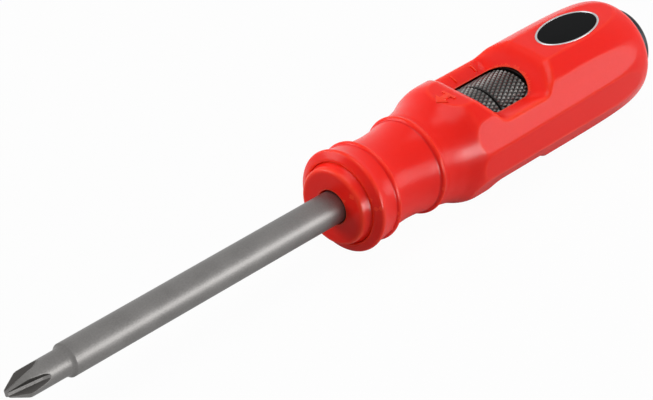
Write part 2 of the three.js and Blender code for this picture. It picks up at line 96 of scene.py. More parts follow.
BLADE_GREY_LIGHT = (0.295, 0.286, 0.278, 1)
# The flute walls are painted a darker grey: painted shade on the walls of the flutes.
FLUTE_WALL_SHADE = (0.085, 0.08, 0.076, 1)
GRAIN_DETAIL = 3
CLOUD_DETAIL = 2
CLOUD_SCALE = 0.05
GRAIN_HEIGHT = 0.05


def even_turn(around):
    """The angles of even steps round a full turn."""
    return np.arange(around) * 2 * math.pi / around


def soft_min(a, b, blend):
    """The lower of two heights, with the crease between them rounded over."""
    near = np.maximum(blend - np.abs(a - b), 0) / blend
    return np.minimum(a, b) - near * near * blend / 4


def place_points(points):
    """Points in millimetres from the nose and the axis, moved to the frame's metres."""
    points = np.asarray(points, float) * MM
    points[:, 0] += TOOL_FRONT
    points[:, 2] += AXIS_HEIGHT
    return points


def finish_mesh(name, points, faces, sharp=PLAIN_CREASE):
    """A smooth-shaded piece from points in tool millimetres, with creases over the sharp angle kept."""
    mesh = bpy.data.meshes.new(name)
    mesh.from_pydata(place_points(points).tolist(), [], faces)
    mesh.validate()
    mesh.shade_smooth()
    mesh.set_sharp_from_angle(angle=math.radians(sharp))
    piece = bpy.data.objects.new(name, mesh)
    bpy.context.scene.collection.objects.link(piece)
    return piece


def round_piece(name, stations, radii, hollow=False, sharp=PLAIN_CREASE):
    """A body round the tool's axis: one ring of radii at each station, capped, or joined end to start."""
    count, around = radii.shape
    turn = even_turn(around)
    points = np.empty((count, around, 3))
    points[:, :, 0] = np.asarray(stations)[:, None]
    points[:, :, 1] = -radii * np.sin(turn)
    points[:, :, 2] = radii * np.cos(turn)
    points = points.reshape(-1, 3).tolist()
    faces = []
    for i in range(count if hollow else count - 1):
        here, after = i * around, ((i + 1) % count) * around
        for j in range(around):
            k = (j + 1) % around
            faces.append((here + j, here + k, after + k, after + j))
    if not hollow:
        front, rear = len(points), len(points) + 1
        points += [(stations[0], 0, 0), (stations[-1], 0, 0)]
        last = (count - 1) * around
        for j in range(around):
            k = (j + 1) % around
            faces.append((front, k, j))
            faces.append((rear, last + j, last + k))
    return finish_mesh(name, points, faces, sharp)


def fine_grain_group():
    """Fine grain shared by the finishes: a mottled colour, a roughness that varies and a height for bumps."""
    group = bpy.data.node_groups.new("fine_grain", "ShaderNodeTree")
    number, colour = "NodeSocketFloat", "NodeSocketColor"
    for label, kind in (("Scale", number), ("Dark", colour), ("Light", colour), ("Smooth", number),
                        ("Rough", number)):
        group.interface.new_socket(label, in_out="INPUT", socket_type=kind)
    for label, kind in (("Colour", colour), ("Roughness", number), ("Height", number)):
        group.interface.new_socket(label, in_out="OUTPUT", socket_type=kind)
    add = group.nodes.new
    link = group.links.new
    inputs, outputs = add("NodeGroupInput"), add("NodeGroupOutput")
    place = add("ShaderNodeTexCoord")
    grain, cloud = add("ShaderNodeTexNoise"), add("ShaderNodeTexNoise")
    cloud_scale = add("ShaderNodeMath")
    cloud_scale.operation = "MULTIPLY"
    cloud_scale.inputs[1].default_value = CLOUD_SCALE
    grain.inputs["Detail"].default_value = GRAIN_DETAIL
    cloud.inputs["Detail"].default_value = CLOUD_DETAIL
    blend, mottle, span = add("ShaderNodeMath"), add("ShaderNodeMix"), add("ShaderNodeMapRange")
    blend.operation = "ADD"
    halve = add("ShaderNodeMath")
    halve.operation = "MULTIPLY"
    halve.inputs[1].default_value = 0.5
    mottle.data_type = "RGBA"
    link(place.outputs["Object"], grain.inputs["Vector"])
    link(place.outputs["Object"], cloud.inputs["Vector"])
    link(inputs.outputs["Scale"], grain.inputs["Scale"])
    link(inputs.outputs["Scale"], cloud_scale.inputs[0])
    link(cloud_scale.outputs[0], cloud.inputs["Scale"])
    link(grain.outputs["Fac"], blend.inputs[0])
    link(cloud.outputs["Fac"], blend.inputs[1])
    link(blend.outputs[0], halve.inputs[0])
    link(halve.outputs[0], mottle.inputs["Factor"])
    link(inputs.outputs["Dark"], mottle.inputs[6])
    link(inputs.outputs["Light"], mottle.inputs[7])
    link(mottle.outputs[2], outputs.inputs["Colour"])
    link(halve.outputs[0], span.inputs["Value"])
    link(inputs.outputs["Smooth"], span.inputs["To Min"])
    link(inputs.outputs["Rough"], span.inputs["To Max"])
    link(span.outputs["Result"], outputs.inputs["Roughness"])
    link(grain.outputs["Fac"], outputs.inputs["Height"])
    return group


FINE_GRAIN = fine_grain_group()


def grained_finish(name, dark, light, smooth, rough, scale, bump, metallic=0.0, specular=0.5):
    """A material with the shared grain in its colour, its roughness and its bump."""
    finish = bpy.data.materials.new(name)
    finish.use_nodes = True
    nodes, link = finish.node_tree.nodes, finish.node_tree.links.new
    shader = nodes["Principled BSDF"]
    grain = nodes.new("ShaderNodeGroup")
    grain.node_tree = FINE_GRAIN
    grain.inputs["Scale"].default_value = scale
    grain.inputs["Dark"].default_value = dark
    grain.inputs["Light"].default_value = light
    grain.inputs["Smooth"].default_value = smooth
    grain.inputs["Rough"].default_value = rough
    raised = nodes.new("ShaderNodeBump")
    raised.inputs["Strength"].default_value = bump
    raised.inputs["Distance"].default_value = GRAIN_HEIGHT * MM
    link(grain.outputs["Colour"], shader.inputs["Base Color"])
    link(grain.outputs["Roughness"], shader.inputs["Roughness"])
    link(grain.outputs["Height"], raised.inputs["Height"])
    link(raised.outputs["Normal"], shader.inputs["Normal"])
    shader.inputs["Metallic"].default_value = metallic
    shader.inputs["Specular IOR Level"].default_value = specular
    finish.diffuse_color = light
    return finish


def tint(finish, mask, span, colour):
    """Blends a colour over a finish's own, as a mask goes from one end of a span to the other."""
    nodes, link = finish.node_tree.nodes, finish.node_tree.links.new
    base = nodes["Principled BSDF"].inputs["Base Color"]
    share, blend = nodes.new("ShaderNodeMapRange"), nodes.new("ShaderNodeMix")
    share.inputs["From Min"].default_value, share.inputs["From Max"].default_value = span
    blend.data_type = "RGBA"
    blend.inputs[7].default_value = colour
    link(mask, share.inputs["Value"])
    link(share.outputs["Result"], blend.inputs["Factor"])
    link(base.links[0].from_socket, blend.inputs[6])
    link(blend.outputs[2], base)


def attribute_mask(finish, attribute):
    """A mask that a finish reads from an attribute of its mesh."""
    reader = finish.node_tree.nodes.new("ShaderNodeAttribute")
    reader.attribute_name = attribute
    return reader.outputs["Fac"]


def dress(piece, finish, body, slot, *nodes):
    """Gives a piece its finish and body, and hides the nodes that it stands for. The slot is not used."""
    piece.data.materials.clear()
    piece.data.materials.append(finish)
    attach(piece, body)
    if nodes:
        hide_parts(*nodes)


nose_stations = [0, BLADE_NOSE_STEP]
tip_stations = np.arange(BLADE_TIP_STEP, BLADE_TIP_END, BLADE_TIP_STEP)
shank_stations = np.linspace(BLADE_SHANK_START, BLADE_END, BLADE_SHANK_RINGS)
blade_stations = np.concatenate([nose_stations, tip_stations, shank_stations])
blade_angles = even_turn(BLADE_AROUND)
outline_x, outline_r = zip(*BLADE_OUTLINE)
blade_radii = np.repeat(np.interp(blade_stations, outline_x, outline_r)[:, None], len(blade_angles), 1)
flute_floor = FLUTE_NOSE_DEPTH + FLUTE_RISE * blade_stations
flute_floor += FLUTE_RUNOUT * np.maximum(blade_stations - FLUTE_BEND, 0) ** 2
flute_walls = np.zeros(blade_radii.shape)
for flute_turn in even_turn(FLUTES):
    off = np.angle(np.exp(1j * (blade_angles - FLUTE_CLOCK - flute_turn)))
    opening = np.cos(off) * FLUTE_WALL_SLOPE - np.abs(np.sin(off))
    inside = opening > FLUTE_LEAST_OPENING
    wall = (flute_floor[:, None] * FLUTE_WALL_SLOPE - FLUTE_HALF_FLOOR) / np.where(inside, opening, 1)
    floor = flute_floor[:, None] / np.where(inside, np.cos(off), 1)
    cut = np.where(inside, np.maximum(wall, floor), OUT_OF_REACH)
    flute_walls[inside & (wall > floor) & (cut < blade_radii)] = 1
    blade_radii = soft_min(blade_radii, np.maximum(cut, FLUTE_LEAST_RADIUS), FLUTE_ROUND)
blade = round_piece("blade_steel", blade_stations, blade_radii, sharp=BLADE_CREASE)
middles_of_ends = [0, 0]
wall_mask = blade.data.attributes.new("flute_wall", "FLOAT", "POINT")
wall_mask.data.foreach_set("value", np.append(flute_walls.ravel(), middles_of_ends))
blade_finish = grained_finish("blasted_steel", BLADE_GREY_DARK, BLADE_GREY_LIGHT,
                              smooth=0.36, rough=0.5, scale=2600, bump=0.6, metallic=0.85)
# Painted shade: the flute walls are blended to a darker grey.
tint(blade_finish, attribute_mask(blade_finish, "flute_wall"), (0, 1), FLUTE_WALL_SHADE)
dress(blade, blade_finish, "blade", "blade_steel", "blade")

# The handle is one moulding of satin red plastic: a flanged, beaded neck that flares into a barrel with eight
# flats and a rounded rear end. Thumb scoops on two sides break through to the selector ring in its bore.
SHELL_FRONT = [(103.6, 7.8), (103.6, 10.17), (103.4, 10.2), (102.9, 10.2), (102.6, 10.26), (102.46, 10.44),
               (102.48, 10.75), (102.58, 11.0), (102.85, 11.45), (103.12, 11.9), (103.32, 12.2),
               (103.55, 12.52), (103.85, 12.7), (104.15, 12.74), (104.5, 12.68), (105.2, 12.45),
               (106.4, 12.2), (107.8, 12.0), (108.8, 11.93), (109.1, 11.95), (109.25, 12.08),
               (109.45, 12.27), (109.7, 12.4), (109.95, 12.43), (110.2, 12.38), (110.42, 12.22),
               (110.58, 11.98), (110.68, 11.7), (110.85, 11.52), (111.5, 11.36), (112.8, 11.18),
               (114.8, 11.0), (117.2, 10.9), (120.2, 11.0), (122.6, 11.25), (124.2, 11.53), (124.95, 11.68),
               (125.08, 11.85), (125.25, 12.1), (125.5, 12.3), (125.78, 12.38), (126.05, 12.34),
               (126.28, 12.2), (126.42, 12.05), (126.6, 11.98), (127.9, 12.05), (129.4, 12.15),
               (131.4, 12.5), (133.5, 13.0), (135.5, 13.76), (137.0, 14.4), (138.5, 14.84), (140.1, 14.98),
               (142.0, 15.0)]
FRONT_STEP = 0.45
BARREL_RADIUS = 15.0
BARREL_START = 142.3
BARREL_STEP = 0.4
DOME_START = 172.4
DOME_END_RADIUS = 11.0
DOME_POWER = 3.7
DOME_RINGS = 84
SHELL_END = 203.9
SHELL_END_STEP = 0.05
SHELL_END_ROUND = 0.2
SHELL_END_HOLE = 9.0
SHELL_AROUND = 256
SHELL_CREASE = 38
TOP_FLAT = 13.8
SLANT_FLAT = 14.5
SLANT_FLAT_ANGLES = (60, -60, 120, -120)
SIDE_FLAT_FRONT = 14.65
SIDE_FLAT_SLOPE = -0.2 / 33
SIDE_FLAT_START = 139.4
FLAT_ROUND = 0.14
FLAT_LEAST_FACING = 0.5
RECESS_FRONT = 142.95
RECESS_FRONT_SLOPE = 6.0
RECESS_FLOOR_LENGTH = 13.7
RECESS_REAR_SLOPE = 5.8
RECESS_FLOOR = 7.3
RECESS_FLOOR_HALF_WIDTH = 7.2
RECESS_DISH = 1.4 / 4.8
RECESS_EDGE_ROUND = 2.2
RECESS_FLOOR_ROUND = 3.2
RECESS_LEAST_FACING = 0.1
BORE_AROUND = 128
BORE_OUTLINE = [(101.0, 8.7), (111.0, 8.7), (111.0, 6.36), (113.1, 6.36), (113.1, 4.6), (123.9, 4.6),
                (123.9, 7.3), (134.4, 7.3), (134.4, 10.1), (181.95, 10.1), (181.95, 11.0), (183.65, 11.0),
                (183.65, 10.1), (206.5, 10.1)]
RED_DARK = (0.85, 0.013, 0.007, 1)
RED_LIGHT = (0.91, 0.017, 0.010, 1)
# A painted highlight: a brighter orange-red that the red plastic takes on its convex edges.
RED_EDGE_HIGHLIGHT = (1.0, 0.05, 0.02, 1)
RED_HIGHLIGHT_BENDS = (0.503, 0.53)
# Painted shade: a darker red that the red plastic takes in its hollow creases.
RED_CREASE_SHADE = (0.66, 0.006, 0.006, 1)
RED_SHADE_BENDS = (0.49, 0.465)
RED_SPECULAR = 0.13
RED_DEPTH_SHARE = 0.6
RED_DEPTH_TINT = (1.0, 0.12, 0.06)
RED_DEPTH = 1.0


def smooth_path(points, step):
    """A curve through outline points, in even steps, with its bends eased."""
    points = np.asarray(points, float)
    gaps = np.hypot(*np.diff(points, axis=0).T)
    along = np.concatenate([[0], np.cumsum(gaps)])
    slope = np.gradient(points, along, axis=0)
    path = []
    for i, gap in enumerate(gaps):
        share = np.linspace(0, 1, max(2, int(gap / step) + 1), endpoint=False)[:, None]
        a, b = points[i], points[i + 1]
        lead = share * (1 - share) ** 2 * gap
        trail = share ** 2 * (share - 1) * gap
        ease = share ** 2 * (3 - 2 * share)
        path.append(a + (b - a) * ease + slope[i] * lead + slope[i + 1] * trail)
    path.append(points[-1:])
    return np.concatenate(path)


def turned_piece(name, outline, around, hollow=False, sharp=PLAIN_CREASE):
    """A body that is round all along, from its outline of stations and radii."""
    stations, radii = np.array(outline).T
    return round_piece(name, stations, np.repeat(radii[:, None], around, 1), hollow, sharp)


def settle(blank, name):
    """The plain mesh that a blank and its modifiers make, as a piece of its own in the blank's stead."""
    bpy.context.view_layer.update()
    mesh = bpy.data.meshes.new_from_object(blank.evaluated_get(bpy.context.evaluated_depsgraph_get()))
    piece = bpy.data.objects.new(name, mesh)
    bpy.context.scene.collection.objects.link(piece)
    bpy.data.objects.remove(blank)
    return piece


front_path = smooth_path(SHELL_FRONT, FRONT_STEP)
barrel_path = np.array([(x, BARREL_RADIUS) for x in np.arange(BARREL_START, DOME_START, BARREL_STEP)])
dome_share = np.sin(np.linspace(0, math.pi / 2, DOME_RINGS))
dome_fall = (1 - dome_share ** DOME_POWER) ** (1 / DOME_POWER)
dome_path = np.stack([DOME_START + (SHELL_END - DOME_START) * dome_share,
                      DOME_END_RADIUS + (BARREL_RADIUS - DOME_END_RADIUS) * dome_fall], 1)
rear_path = np.array([(SHELL_END + SHELL_END_STEP, DOME_END_RADIUS - SHELL_END_ROUND),
                      (SHELL_END + SHELL_END_STEP, SHELL_END_HOLE)])
shell_path = np.concatenate([front_path, barrel_path, dome_path, rear_path])
shell_x = shell_path[:, 0]
shell_angles = even_turn(SHELL_AROUND)
shell_radii = np.repeat(shell_path[:, 1:2], len(shell_angles), 1)
side_flat = SIDE_FLAT_FRONT + SIDE_FLAT_SLOPE * (shell_x - SIDE_FLAT_START)
flats = [(0, TOP_FLAT), (180, TOP_FLAT), (90, side_flat), (-90, side_flat)]
flats += [(angle, SLANT_FLAT) for angle in SLANT_FLAT_ANGLES]
for angle, distance in flats:
    facing = np.cos(shell_angles - math.radians(angle))
    plane = np.broadcast_to(np.reshape(distance, (-1, 1)), (len(shell_x), 1))
    reached = facing > FLAT_LEAST_FACING
    flat = np.where(reached, plane / np.maximum(facing, FLAT_LEAST_FACING), OUT_OF_REACH)
    shell_radii = soft_min(shell_radii, flat, FLAT_ROUND)
floor_front = RECESS_FRONT + RECESS_FRONT_SLOPE
floor_rear = floor_front + RECESS_FLOOR_LENGTH
recess_depth = TOP_FLAT - RECESS_FLOOR
before = (floor_front - shell_x) * recess_depth / RECESS_FRONT_SLOPE
behind = (shell_x - floor_rear) * recess_depth / RECESS_REAR_SLOPE
slopes = RECESS_FLOOR + np.maximum(before, behind)
for side in (0, math.pi):
    facing = np.cos(shell_angles - side)
    aside = np.abs(np.sin(shell_angles - side))
    dish = facing - RECESS_DISH * aside
    reached = dish > RECESS_LEAST_FACING
    facing = np.maximum(facing, RECESS_LEAST_FACING)
    dish = np.maximum(dish, RECESS_LEAST_FACING)
    dish_floor = RECESS_FLOOR - RECESS_DISH * RECESS_FLOOR_HALF_WIDTH
    level = np.maximum(RECESS_FLOOR / facing, dish_floor / dish)
    ramp = slopes[:, None] / facing
    scoop = -soft_min(-ramp, -np.broadcast_to(level, ramp.shape), RECESS_FLOOR_ROUND)
    scoop = np.where(reached, scoop, OUT_OF_REACH)
    shell_radii = soft_min(shell_radii, scoop, RECESS_EDGE_ROUND)
shell_blank = round_piece("handle_blank", shell_x, shell_radii)
bore_tool = turned_piece("bore_tool", BORE_OUTLINE, BORE_AROUND)
boring = shell_blank.modifiers.new("bore", "BOOLEAN")
boring.operation = "DIFFERENCE"
boring.solver = "EXACT"
boring.object = bore_tool
shell = settle(shell_blank, "handle_moulding")
shell.data.shade_smooth()
shell.data.set_sharp_from_angle(angle=math.radians(SHELL_CREASE))
bpy.data.objects.remove(bore_tool)
red_finish = grained_finish("red_plastic", RED_DARK, RED_LIGHT,
                            smooth=0.2, rough=0.28, scale=900, bump=0.015, specular=RED_SPECULAR)
red_shader = red_finish.node_tree.nodes["Principled BSDF"]
red_bends = red_finish.node_tree.nodes.new("ShaderNodeNewGeometry")
# Painted highlight: convex bends are blended to a brighter orange-red.
tint(red_finish, red_bends.outputs["Pointiness"], RED_HIGHLIGHT_BENDS, RED_EDGE_HIGHLIGHT)
# Painted shade: hollow creases are blended to a darker red.
tint(red_finish, red_bends.outputs["Pointiness"], RED_SHADE_BENDS, RED_CREASE_SHADE)
red_shader.inputs["Subsurface Weight"].default_value = RED_DEPTH_SHARE
red_shader.inputs["Subsurface Radius"].default_value = RED_DEPTH_TINT
red_shader.inputs["Subsurface Scale"].default_value = RED_DEPTH * MM
dress(shell, red_finish, "handle", "red_plastic", "handle_shell")

# The nose bush is a turned red plug that closes the front of the handle round the shank. Its boss tapers to a
# rounded rim, the shank runs in its close hole, and its stem is pressed into the neck.
BUSH_OUTLINE = [(100.4, 4.3), (100.05, 4.3), (99.94, 4.38), (99.9, 4.55), (99.9, 4.85), (99.9, 5.25),
                (99.9, 5.7), (99.9, 6.2), (99.9, 6.7), (99.9, 7.2), (99.9, 7.65), (99.9, 8.05),
                (99.9, 8.35), (99.92, 8.6), (99.96, 8.87), (100.06, 9.12), (100.24, 9.35), (100.5, 9.5),
                (100.9, 9.6), (101.6, 9.7), (102.0, 9.78), (102.3, 9.88), (102.55, 10.02), (102.75, 10.1),
                (103.4, 10.12), (103.4, 8.4), (110.4, 8.0), (110.7, 8.0), (110.7, 4.3)]
BUSH_AROUND = 128
BUSH_CREASE = 40
bush = turned_piece("nose_plug", BUSH_OUTLINE, BUSH_AROUND, hollow=True, sharp=BUSH_CREASE)
dress(bush, red_finish, "handle", "red_plastic", "nose_bush")

# Raised in the moulding are an arrow with a crossbar on the slope before the scoop, which shows the way that
# the ring turns the blade, and two short index bars beside the window. They stand about a third of a
# millimetre proud.
ARROW_HEAD = [(134.9, -0.4), (136.9, -2.5), (136.9, 1.7)]
ARROW_TAIL = [(136.9, -1.15), (139.0, -1.15), (139.0, -2.4), (139.8, -2.4), (139.8, 1.6), (139.0, 1.6),
              (139.0, 0.35), (136.9, 0.35)]
INDEX_BAR_PLACES = (153.2, 160.7)
INDEX_BAR_REACH = (8.2, 10.4)
INDEX_BAR_HALF = 0.22
SIGN_PROUD = 0.36
SIGN_ROOT = 0.5
SIGN_BEVEL = 0.14
SIGN_BEVEL_STEPS = 2
SIGN_CREASE = 30


def top_surface(x, y):
    """The height of the handle's top before the scoop."""
    radius = np.interp(x, front_path[:, 0], front_path[:, 1])
    return min(TOP_FLAT, math.sqrt(radius ** 2 - y ** 2))


def scoop_surface(x, y):
    """The height of the scoop's floor beside the window."""
    return RECESS_FLOOR + RECESS_DISH * max(abs(y) - RECESS_FLOOR_HALF_WIDTH, 0)


def raised_sign(name, outline, surface):
    """A flat sign that stands a little proud of a surface, with its edges bevelled."""
    count = len(outline)
    points = [(x, y, surface(x, y) - SIGN_ROOT) for x, y in outline]
    points += [(x, y, surface(x, y) + SIGN_PROUD) for x, y in outline]
    faces = [tuple(range(count, 2 * count)), tuple(reversed(range(count)))]
    for i in range(count):
        k = (i + 1) % count
        faces.append((i, k, count + k, count + i))
    block = finish_mesh(name + "_block", points, faces, SIGN_CREASE)
    bevel = block.modifiers.new("bevel", "BEVEL")
    bevel.width = SIGN_BEVEL * MM
    bevel.segments = SIGN_BEVEL_STEPS
    dress(settle(block, name), red_finish, "handle", "red_plastic")


raised_sign("turn_arrow_head", ARROW_HEAD, top_surface)
raised_sign("turn_arrow_tail", ARROW_TAIL, top_surface)
for number, place in enumerate(INDEX_BAR_PLACES):
    near, far = INDEX_BAR_REACH
    low, high = place - INDEX_BAR_HALF, place + INDEX_BAR_HALF
    raised_sign(f"index_bar_{number}", [(low, near), (high, near), (high, far), (low, far)], scoop_surface)

# The knurled ring in the window is black-oxide steel in two parts: a band on the collar that is pinned to the
# blade, and the longer selector ring behind it. Both have the same diamond knurl, rolled in.
KNURL_RADIUS = 9.28
KNURL_HEIGHT = 0.32
KNURL_AROUND = 50
KNURL_PITCH = 1.11
KNURL_FLAT = 0.24
COLLAR_OUTLINE = [(136.2, 4.3), (136.2, 9.0), (146.0, 9.0), (146.6, 9.2), (146.65, KNURL_RADIUS),
                  (152.35, KNURL_RADIUS), (152.4, 9.2), (152.4, 4.3)]
SELECTOR_OUTLINE = [(152.8, 6.5), (152.8, 9.2), (152.85, KNURL_RADIUS), (164.15, KNURL_RADIUS),
                    (164.2, 9.2), (164.2, 6.5)]
COLLAR_KNURL = (146.65, 152.35)
SELECTOR_KNURL = (152.85, 164.15)
RING_AROUND = 96
BLACK_OXIDE_DARK = (0.012, 0.0115, 0.011, 1)
BLACK_OXIDE_LIGHT = (0.035, 0.034, 0.033, 1)
KNURL_WORN = (0.15, 0.146, 0.14, 1)


def knurl_tree():
    """Rows of flat-topped pyramids round a ring, every second row shifted, trimmed square at both ends."""
    tree = bpy.data.node_groups.new("diamond_knurl", "GeometryNodeTree")
    sockets = (("Ring", "NodeSocketGeometry"), ("Start", "NodeSocketFloat"), ("End", "NodeSocketFloat"),
               ("Rows", "NodeSocketInt"), ("Around", "NodeSocketInt"), ("Radius", "NodeSocketFloat"),
               ("Height", "NodeSocketFloat"), ("Flat", "NodeSocketFloat"), ("Axis Height", "NodeSocketFloat"),
               ("Finish", "NodeSocketMaterial"))
    for label, kind in sockets:
        tree.interface.new_socket(label, in_out="INPUT", socket_type=kind)
    tree.interface.new_socket("Knurled Ring", in_out="OUTPUT", socket_type="NodeSocketGeometry")
    link = tree.links.new

    def node(kind, **settings):
        made = tree.nodes.new(kind)
        for key, value in settings.items():
            setattr(made, key, value)
        return made

    def sum_up(operation, a, b):
        made = node("ShaderNodeMath", operation=operation)
        for socket, value in zip(made.inputs, (a, b)):
            if isinstance(value, (int, float)):
                socket.default_value = value
            else:
                link(value, socket)
        return made.outputs[0]

    def vector(x, y, z):
        made = node("ShaderNodeCombineXYZ")
        for socket, value in zip(made.inputs, (x, y, z)):
            if value is not None:
                link(value, socket)
        return made.outputs[0]

    given = node("NodeGroupInput").outputs
    count = sum_up("MULTIPLY", given["Rows"], given["Around"])
    points = node("GeometryNodePoints")
    link(count, points.inputs["Count"])
    index = node("GeometryNodeInputIndex").outputs[0]
    row = sum_up("FLOOR", sum_up("DIVIDE", index, given["Around"]), 0)
    column = sum_up("SUBTRACT", index, sum_up("MULTIPLY", row, given["Around"]))
    shift = sum_up("MULTIPLY", sum_up("MODULO", row, 2), 0.5)
    turn = sum_up("MULTIPLY", sum_up("DIVIDE", sum_up("ADD", column, shift), given["Around"]), 2 * math.pi)
    pitch = sum_up("DIVIDE", sum_up("SUBTRACT", given["End"], given["Start"]), given["Rows"])
    along = sum_up("ADD", given["Start"], sum_up("MULTIPLY", sum_up("ADD", row, 0.5), pitch))
    aside = sum_up("MULTIPLY", sum_up("MULTIPLY", given["Radius"], -1), sum_up("SINE", turn, 0))
    lift = sum_up("MULTIPLY", given["Radius"], sum_up("COSINE", turn, 0))
    upright = sum_up("ADD", given["Axis Height"], lift)
    set_place = node("GeometryNodeSetPosition")
    link(points.outputs[0], set_place.inputs["Geometry"])
    link(vector(along, aside, upright), set_place.inputs["Position"])
    stud = node("GeometryNodeMeshCone", fill_type="NGON")
    stud.inputs["Vertices"].default_value = 4
    stud.inputs["Radius Bottom"].default_value = 1
    stud.inputs["Depth"].default_value = 1
    link(given["Flat"], stud.inputs["Radius Top"])
    worn = node("GeometryNodeStoreNamedAttribute", data_type="FLOAT", domain="POINT")
    worn.inputs["Name"].default_value = "worn"
    height = node("ShaderNodeSeparateXYZ")
    link(node("GeometryNodeInputPosition").outputs[0], height.inputs[0])
    link(stud.outputs["Mesh"], worn.inputs["Geometry"])
    link(height.outputs["Z"], worn.inputs["Value"])
    half_arc = sum_up("DIVIDE", sum_up("MULTIPLY", given["Radius"], math.pi), given["Around"])
    to_rotation = node("FunctionNodeEulerToRotation")
    link(vector(turn, None, None), to_rotation.inputs[0])
    studs = node("GeometryNodeInstanceOnPoints")
    link(set_place.outputs[0], studs.inputs["Points"])
    link(worn.outputs[0], studs.inputs["Instance"])
    link(to_rotation.outputs[0], studs.inputs["Rotation"])
    link(vector(pitch, half_arc, given["Height"]), studs.inputs["Scale"])
    real = node("GeometryNodeRealizeInstances")
    link(studs.outputs[0], real.inputs[0])
    spot = node("ShaderNodeSeparateXYZ")
    link(node("GeometryNodeInputPosition").outputs[0], spot.inputs[0])
    within = sum_up("MINIMUM", sum_up("MAXIMUM", spot.outputs["X"], given["Start"]), given["End"])
    trim = node("GeometryNodeSetPosition")
    link(real.outputs[0], trim.inputs["Geometry"])
    link(vector(within, spot.outputs["Y"], spot.outputs["Z"]), trim.inputs["Position"])
    flat_shade = node("GeometryNodeSetShadeSmooth")
    flat_shade.inputs["Shade Smooth"].default_value = False
    link(trim.outputs[0], flat_shade.inputs["Geometry"])
    join = node("GeometryNodeJoinGeometry")
    link(flat_shade.outputs[0], join.inputs[0])
    link(given["Ring"], join.inputs[0])
    finish = node("GeometryNodeSetMaterial")
    link(join.outputs[0], finish.inputs["Geometry"])
    link(given["Finish"], finish.inputs["Material"])
    link(finish.outputs[0], node("NodeGroupOutput").inputs[0])
    return tree


KNURL_TREE = knurl_tree()
knurl_finish = grained_finish("worn_black_oxide", BLACK_OXIDE_DARK, BLACK_OXIDE_LIGHT,
                              smooth=0.24, rough=0.4, scale=2200, bump=0.2, metallic=0.85)
tint(knurl_finish, attribute_mask(knurl_finish, "worn"), (0, 1), KNURL_WORN)


def knurled_ring(name, outline, knurl_ends):
    """A turned ring with its knurl rolled on, made plain mesh."""
    start, end = knurl_ends
    blank = turned_piece(name + "_blank", outline, RING_AROUND, hollow=True)
    values = {"Start": TOOL_FRONT + start * MM, "End": TOOL_FRONT + end * MM,
              "Rows": round((end - start) / KNURL_PITCH), "Around": KNURL_AROUND,
              "Radius": KNURL_RADIUS * MM, "Height": KNURL_HEIGHT * MM, "Flat": KNURL_FLAT,
              "Axis Height": AXIS_HEIGHT, "Finish": knurl_finish}
    rolling = blank.modifiers.new("knurl", "NODES")
    rolling.node_group = KNURL_TREE
    for item in KNURL_TREE.interface.items_tree:
        if item.in_out == "INPUT" and item.name in values:
            rolling[item.identifier] = values[item.name]
    return settle(blank, name)


band = knurled_ring("knurled_band", COLLAR_OUTLINE, COLLAR_KNURL)
dress(band, knurl_finish, "blade", "dark_steel", "blade_collar")
selector = knurled_ring("knurled_selector", SELECTOR_OUTLINE, SELECTOR_KNURL)
dress(selector, knurl_finish, "selector", "dark_steel", "selector_ring")

# The striking cap is a hardened, blackened steel plug that stands out of the handle's rear end. Its face is
# domed to take the hammer, and the skirt slides in the handle's bore.
CAP_RADIUS = 9.7
CAP_FACE_RADIUS = 4.7
CAP_DOME_START = 207.5
CAP_DOME = 2.2
CAP_EDGE_RADIUS = 9.4
CAP_GROOVE_RADIUS = 8.26
CAP_SKIRT = [(196.4, 5.3), (196.4, CAP_EDGE_RADIUS), (196.7, CAP_RADIUS), (201.13, CAP_RADIUS),
             (201.13, CAP_GROOVE_RADIUS), (202.87, CAP_GROOVE_RADIUS), (202.87, CAP_RADIUS)]
CAP_AROUND = 128
CAP_DOME_RINGS = 24
CAP_CREASE = 40
CAP_DARK = (0.009, 0.010, 0.012, 1)
CAP_LIGHT = (0.022, 0.024, 0.027, 1)
cap_lean = np.linspace(0, math.pi / 2, CAP_DOME_RINGS)
cap_dome = np.stack([CAP_DOME_START + CAP_DOME * np.sin(cap_lean),
                     CAP_FACE_RADIUS + (CAP_RADIUS - CAP_FACE_RADIUS) * np.cos(cap_lean)], 1)
cap = turned_piece("hammer_cap", np.concatenate([CAP_SKIRT, cap_dome]), CAP_AROUND, sharp=CAP_CREASE)
cap_finish = grained_finish("hardened_cap", CAP_DARK, CAP_LIGHT,
                            smooth=0.3, rough=0.5, scale=1500, bump=0.2, metallic=0.6)
dress(cap, cap_finish, "striker", "dark_steel", "striking_cap")

# The badge is an oval of glossy black lacquer in a bright metal rim. It is set into the upper flat behind the
# scoop, with its rim just proud of the flat.
BADGE_CENTRE = 184.85
BADGE_HALF_LENGTH = 10.8
BADGE_HALF_WIDTH = 5.4
BADGE_RIM_ENDS = 0.8
BADGE_RIM_SIDES = 0.5
BADGE_RIM_RISE = 0.25
BADGE_TOP = 13.95
BADGE_AROUND = 160
BADGE_RIM_CREASE = 60
BADGE_FIELD_TOP = 13.86
BADGE_FIELD_CROWN = 0.05
BADGE_FIELD_DEPTH = 0.4
BADGE_FIELD_CREASE = 40
RIM_SIDES = 12
FIELD_RINGS = 8
RIM_SILVER_DARK = (0.4, 0.405, 0.41, 1)
RIM_SILVER_LIGHT = (0.62, 0.625, 0.63, 1)
FIELD_DARK = (0.004, 0.0045, 0.005, 1)
FIELD_LIGHT = (0.007, 0.0075, 0.008, 1)
oval_turn = even_turn(BADGE_AROUND)
oval_ring = np.stack([np.cos(oval_turn), np.sin(oval_turn)], 1)
oval = oval_ring * (BADGE_HALF_LENGTH, BADGE_HALF_WIDTH)
inset = oval_ring * (BADGE_HALF_LENGTH - BADGE_RIM_ENDS, BADGE_HALF_WIDTH - BADGE_RIM_SIDES)
rim_points, rim_faces = [], []
